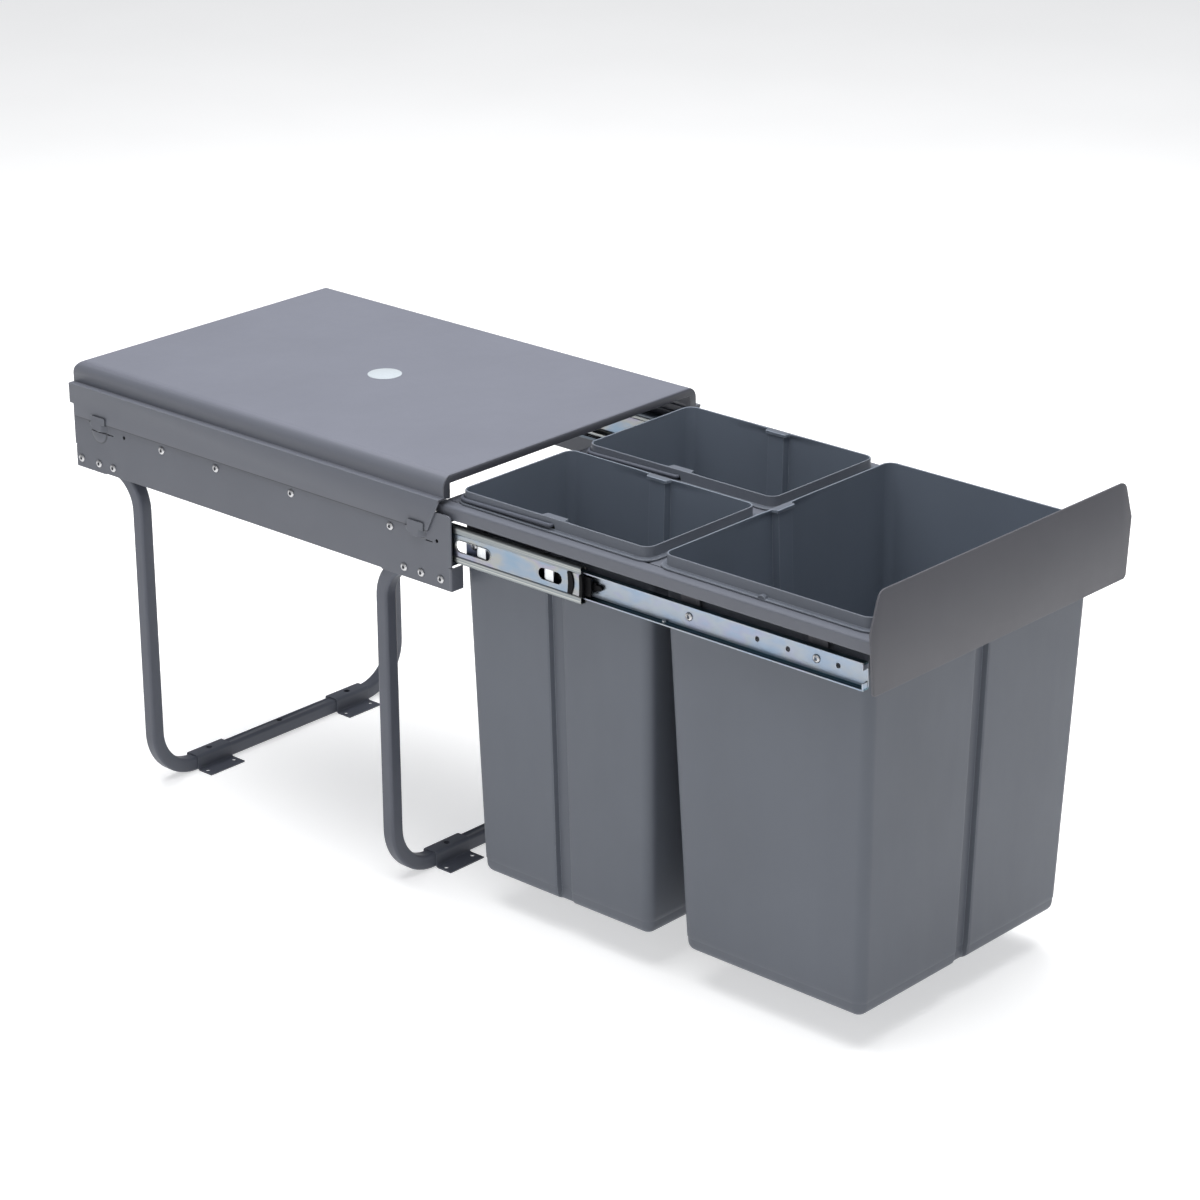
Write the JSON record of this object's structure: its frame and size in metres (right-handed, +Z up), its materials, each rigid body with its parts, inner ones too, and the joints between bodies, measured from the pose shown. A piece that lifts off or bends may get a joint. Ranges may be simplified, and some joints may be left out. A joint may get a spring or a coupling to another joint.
{
  "type": "pull out bin frame",
  "caption": "Floor-mounted pull-out waste bin unit for a kitchen cabinet: tube frame with cover, tray on ball slides, lift-out bins with folding wire handles.",
  "frame": {"origin": "middle of the rectangle of the four outer screw holes in the foot flanges, on the floor", "axes": "+Y points to the back of the cabinet, -Y is the pull-out direction, +X to the right seen from the front, +Z up"},
  "size_m": [0.353, 0.9635, 0.431],
  "materials": {
    "grey_powder_coat": "fine satin grey powder coat",
    "zinc_plated_steel": "blue passivated zinc with a faint rainbow tint",
    "ball_steel": "polished bearing steel",
    "aluminium_rivet": "plain bright aluminium",
    "black_plastic": "moulded black plastic",
    "grey_bin_plastic": "moulded grey plastic with a fine grain",
    "blank_label": "smooth white film, left blank"
  },
  "bodies": {
    "frame": {"side_plate_left": "grey_powder_coat", "side_plate_right": "grey_powder_coat", "rear_leg": "grey_powder_coat", "front_leg": "grey_powder_coat", "foot_rear_left": "grey_powder_coat", "foot_rear_right": "grey_powder_coat", "foot_front_left": "grey_powder_coat", "foot_front_right": "grey_powder_coat", "outer_slide_left": "zinc_plated_steel", "outer_slide_right": "zinc_plated_steel", "slide_rivets_left": "aluminium_rivet", "slide_rivets_right": "aluminium_rivet", "leg_rivets_left": "aluminium_rivet", "leg_rivets_right": "aluminium_rivet"},
    "cover": {"cover": "grey_powder_coat", "cover_sticker": "blank_label"},
    "tray": {"tray_rail_left": "grey_powder_coat", "tray_rail_right": "grey_powder_coat", "tray_front_bar": "grey_powder_coat", "tray_rear_bar": "grey_powder_coat", "tray_cross_bar": "grey_powder_coat", "tray_centre_bar": "grey_powder_coat", "slide_lugs_left": "grey_powder_coat", "slide_lugs_right": "grey_powder_coat", "inner_slide_left": "zinc_plated_steel", "inner_slide_right": "zinc_plated_steel", "lug_rivets_left": "aluminium_rivet", "lug_rivets_right": "aluminium_rivet", "front_panel": "grey_powder_coat"},
    "large_bin": {"large_bin": "grey_bin_plastic"},
    "large_handle": {"large_handle": "grey_powder_coat"},
    "middle_left": {"middle_slide_left": "zinc_plated_steel", "slide_bumper_left": "black_plastic"},
    "outer_cage_left": {"outer_cage_left": "zinc_plated_steel", "outer_balls_left": "ball_steel"},
    "inner_cage_left": {"inner_cage_left": "zinc_plated_steel", "inner_balls_left": "ball_steel"},
    "lever_left": {"release_lever_left": "black_plastic"},
    "small_bin_left": {"small_bin_left": "grey_bin_plastic"},
    "small_handle_left": {"small_handle_left": "grey_powder_coat"},
    "middle_right": {"middle_slide_right": "zinc_plated_steel", "slide_bumper_right": "black_plastic"},
    "outer_cage_right": {"outer_cage_right": "zinc_plated_steel", "outer_balls_right": "ball_steel"},
    "inner_cage_right": {"inner_cage_right": "zinc_plated_steel", "inner_balls_right": "ball_steel"},
    "lever_right": {"release_lever_right": "black_plastic"},
    "small_bin_right": {"small_bin_right": "grey_bin_plastic"},
    "small_handle_right": {"small_handle_right": "grey_powder_coat"}
  },
  "joints": [
    {"name": "tray_slide", "type": "slide", "parent": "frame", "child": "tray", "axis": [0, 1, 0], "range_m": [0, 0.456]},
    {"name": "cover_lift", "type": "slide", "parent": "frame", "child": "cover", "axis": [0, 0, 1], "range_m": [0, 0.45]},
    {"name": "large_bin_lift", "type": "slide", "parent": "tray", "child": "large_bin", "axis": [0, 0, 1], "range_m": [0, 0.4]},
    {"name": "large_handle_hinge", "type": "hinge", "parent": "large_bin", "child": "large_handle", "pos_m": [0, -0.57175, 0.39185], "axis": [0, -1, 0], "range_deg": [0, 177.8]},
    {"name": "middle_slide_left", "type": "slide", "parent": "frame", "child": "middle_left", "axis": [0, 1, 0], "range_m": [0, 0.152]},
    {"name": "outer_cage_slide_left", "type": "slide", "parent": "frame", "child": "outer_cage_left", "axis": [0, 1, 0], "range_m": [0, 0.076]},
    {"name": "inner_cage_slide_left", "type": "slide", "parent": "frame", "child": "inner_cage_left", "axis": [0, 1, 0], "range_m": [0, 0.304]},
    {"name": "lever_hinge_left", "type": "hinge", "parent": "tray", "child": "lever_left", "pos_m": [-0.1565, -0.3535, 0.353], "axis": [1, 0, 0], "range_deg": [-6, 6]},
    {"name": "small_bin_lift_left", "type": "slide", "parent": "tray", "child": "small_bin_left", "axis": [0, 0, 1], "range_m": [0, 0.4]},
    {"name": "small_handle_hinge_left", "type": "hinge", "parent": "small_bin_left", "child": "small_handle_left", "pos_m": [-0.0805, -0.339, 0.39185], "axis": [1, 0, 0], "range_deg": [0, 181.6]},
    {"name": "middle_slide_right", "type": "slide", "parent": "frame", "child": "middle_right", "axis": [0, 1, 0], "range_m": [0, 0.152]},
    {"name": "outer_cage_slide_right", "type": "slide", "parent": "frame", "child": "outer_cage_right", "axis": [0, 1, 0], "range_m": [0, 0.076]},
    {"name": "inner_cage_slide_right", "type": "slide", "parent": "frame", "child": "inner_cage_right", "axis": [0, 1, 0], "range_m": [0, 0.304]},
    {"name": "lever_hinge_right", "type": "hinge", "parent": "tray", "child": "lever_right", "pos_m": [0.1565, -0.3535, 0.353], "axis": [1, 0, 0], "range_deg": [-6, 6]},
    {"name": "small_bin_lift_right", "type": "slide", "parent": "tray", "child": "small_bin_right", "axis": [0, 0, 1], "range_m": [0, 0.4]},
    {"name": "small_handle_hinge_right", "type": "hinge", "parent": "small_bin_right", "child": "small_handle_right", "pos_m": [0.0805, -0.339, 0.39185], "axis": [1, 0, 0], "range_deg": [0, 181.6]}
  ],
  "couplings": [
    {"joint": "middle_slide_left", "follows": "tray_slide", "ratio": 0.33333},
    {"joint": "outer_cage_slide_left", "follows": "tray_slide", "ratio": 0.16667},
    {"joint": "inner_cage_slide_left", "follows": "tray_slide", "ratio": 0.66667},
    {"joint": "middle_slide_right", "follows": "tray_slide", "ratio": 0.33333},
    {"joint": "outer_cage_slide_right", "follows": "tray_slide", "ratio": 0.16667},
    {"joint": "inner_cage_slide_right", "follows": "tray_slide", "ratio": 0.66667}
  ]
}
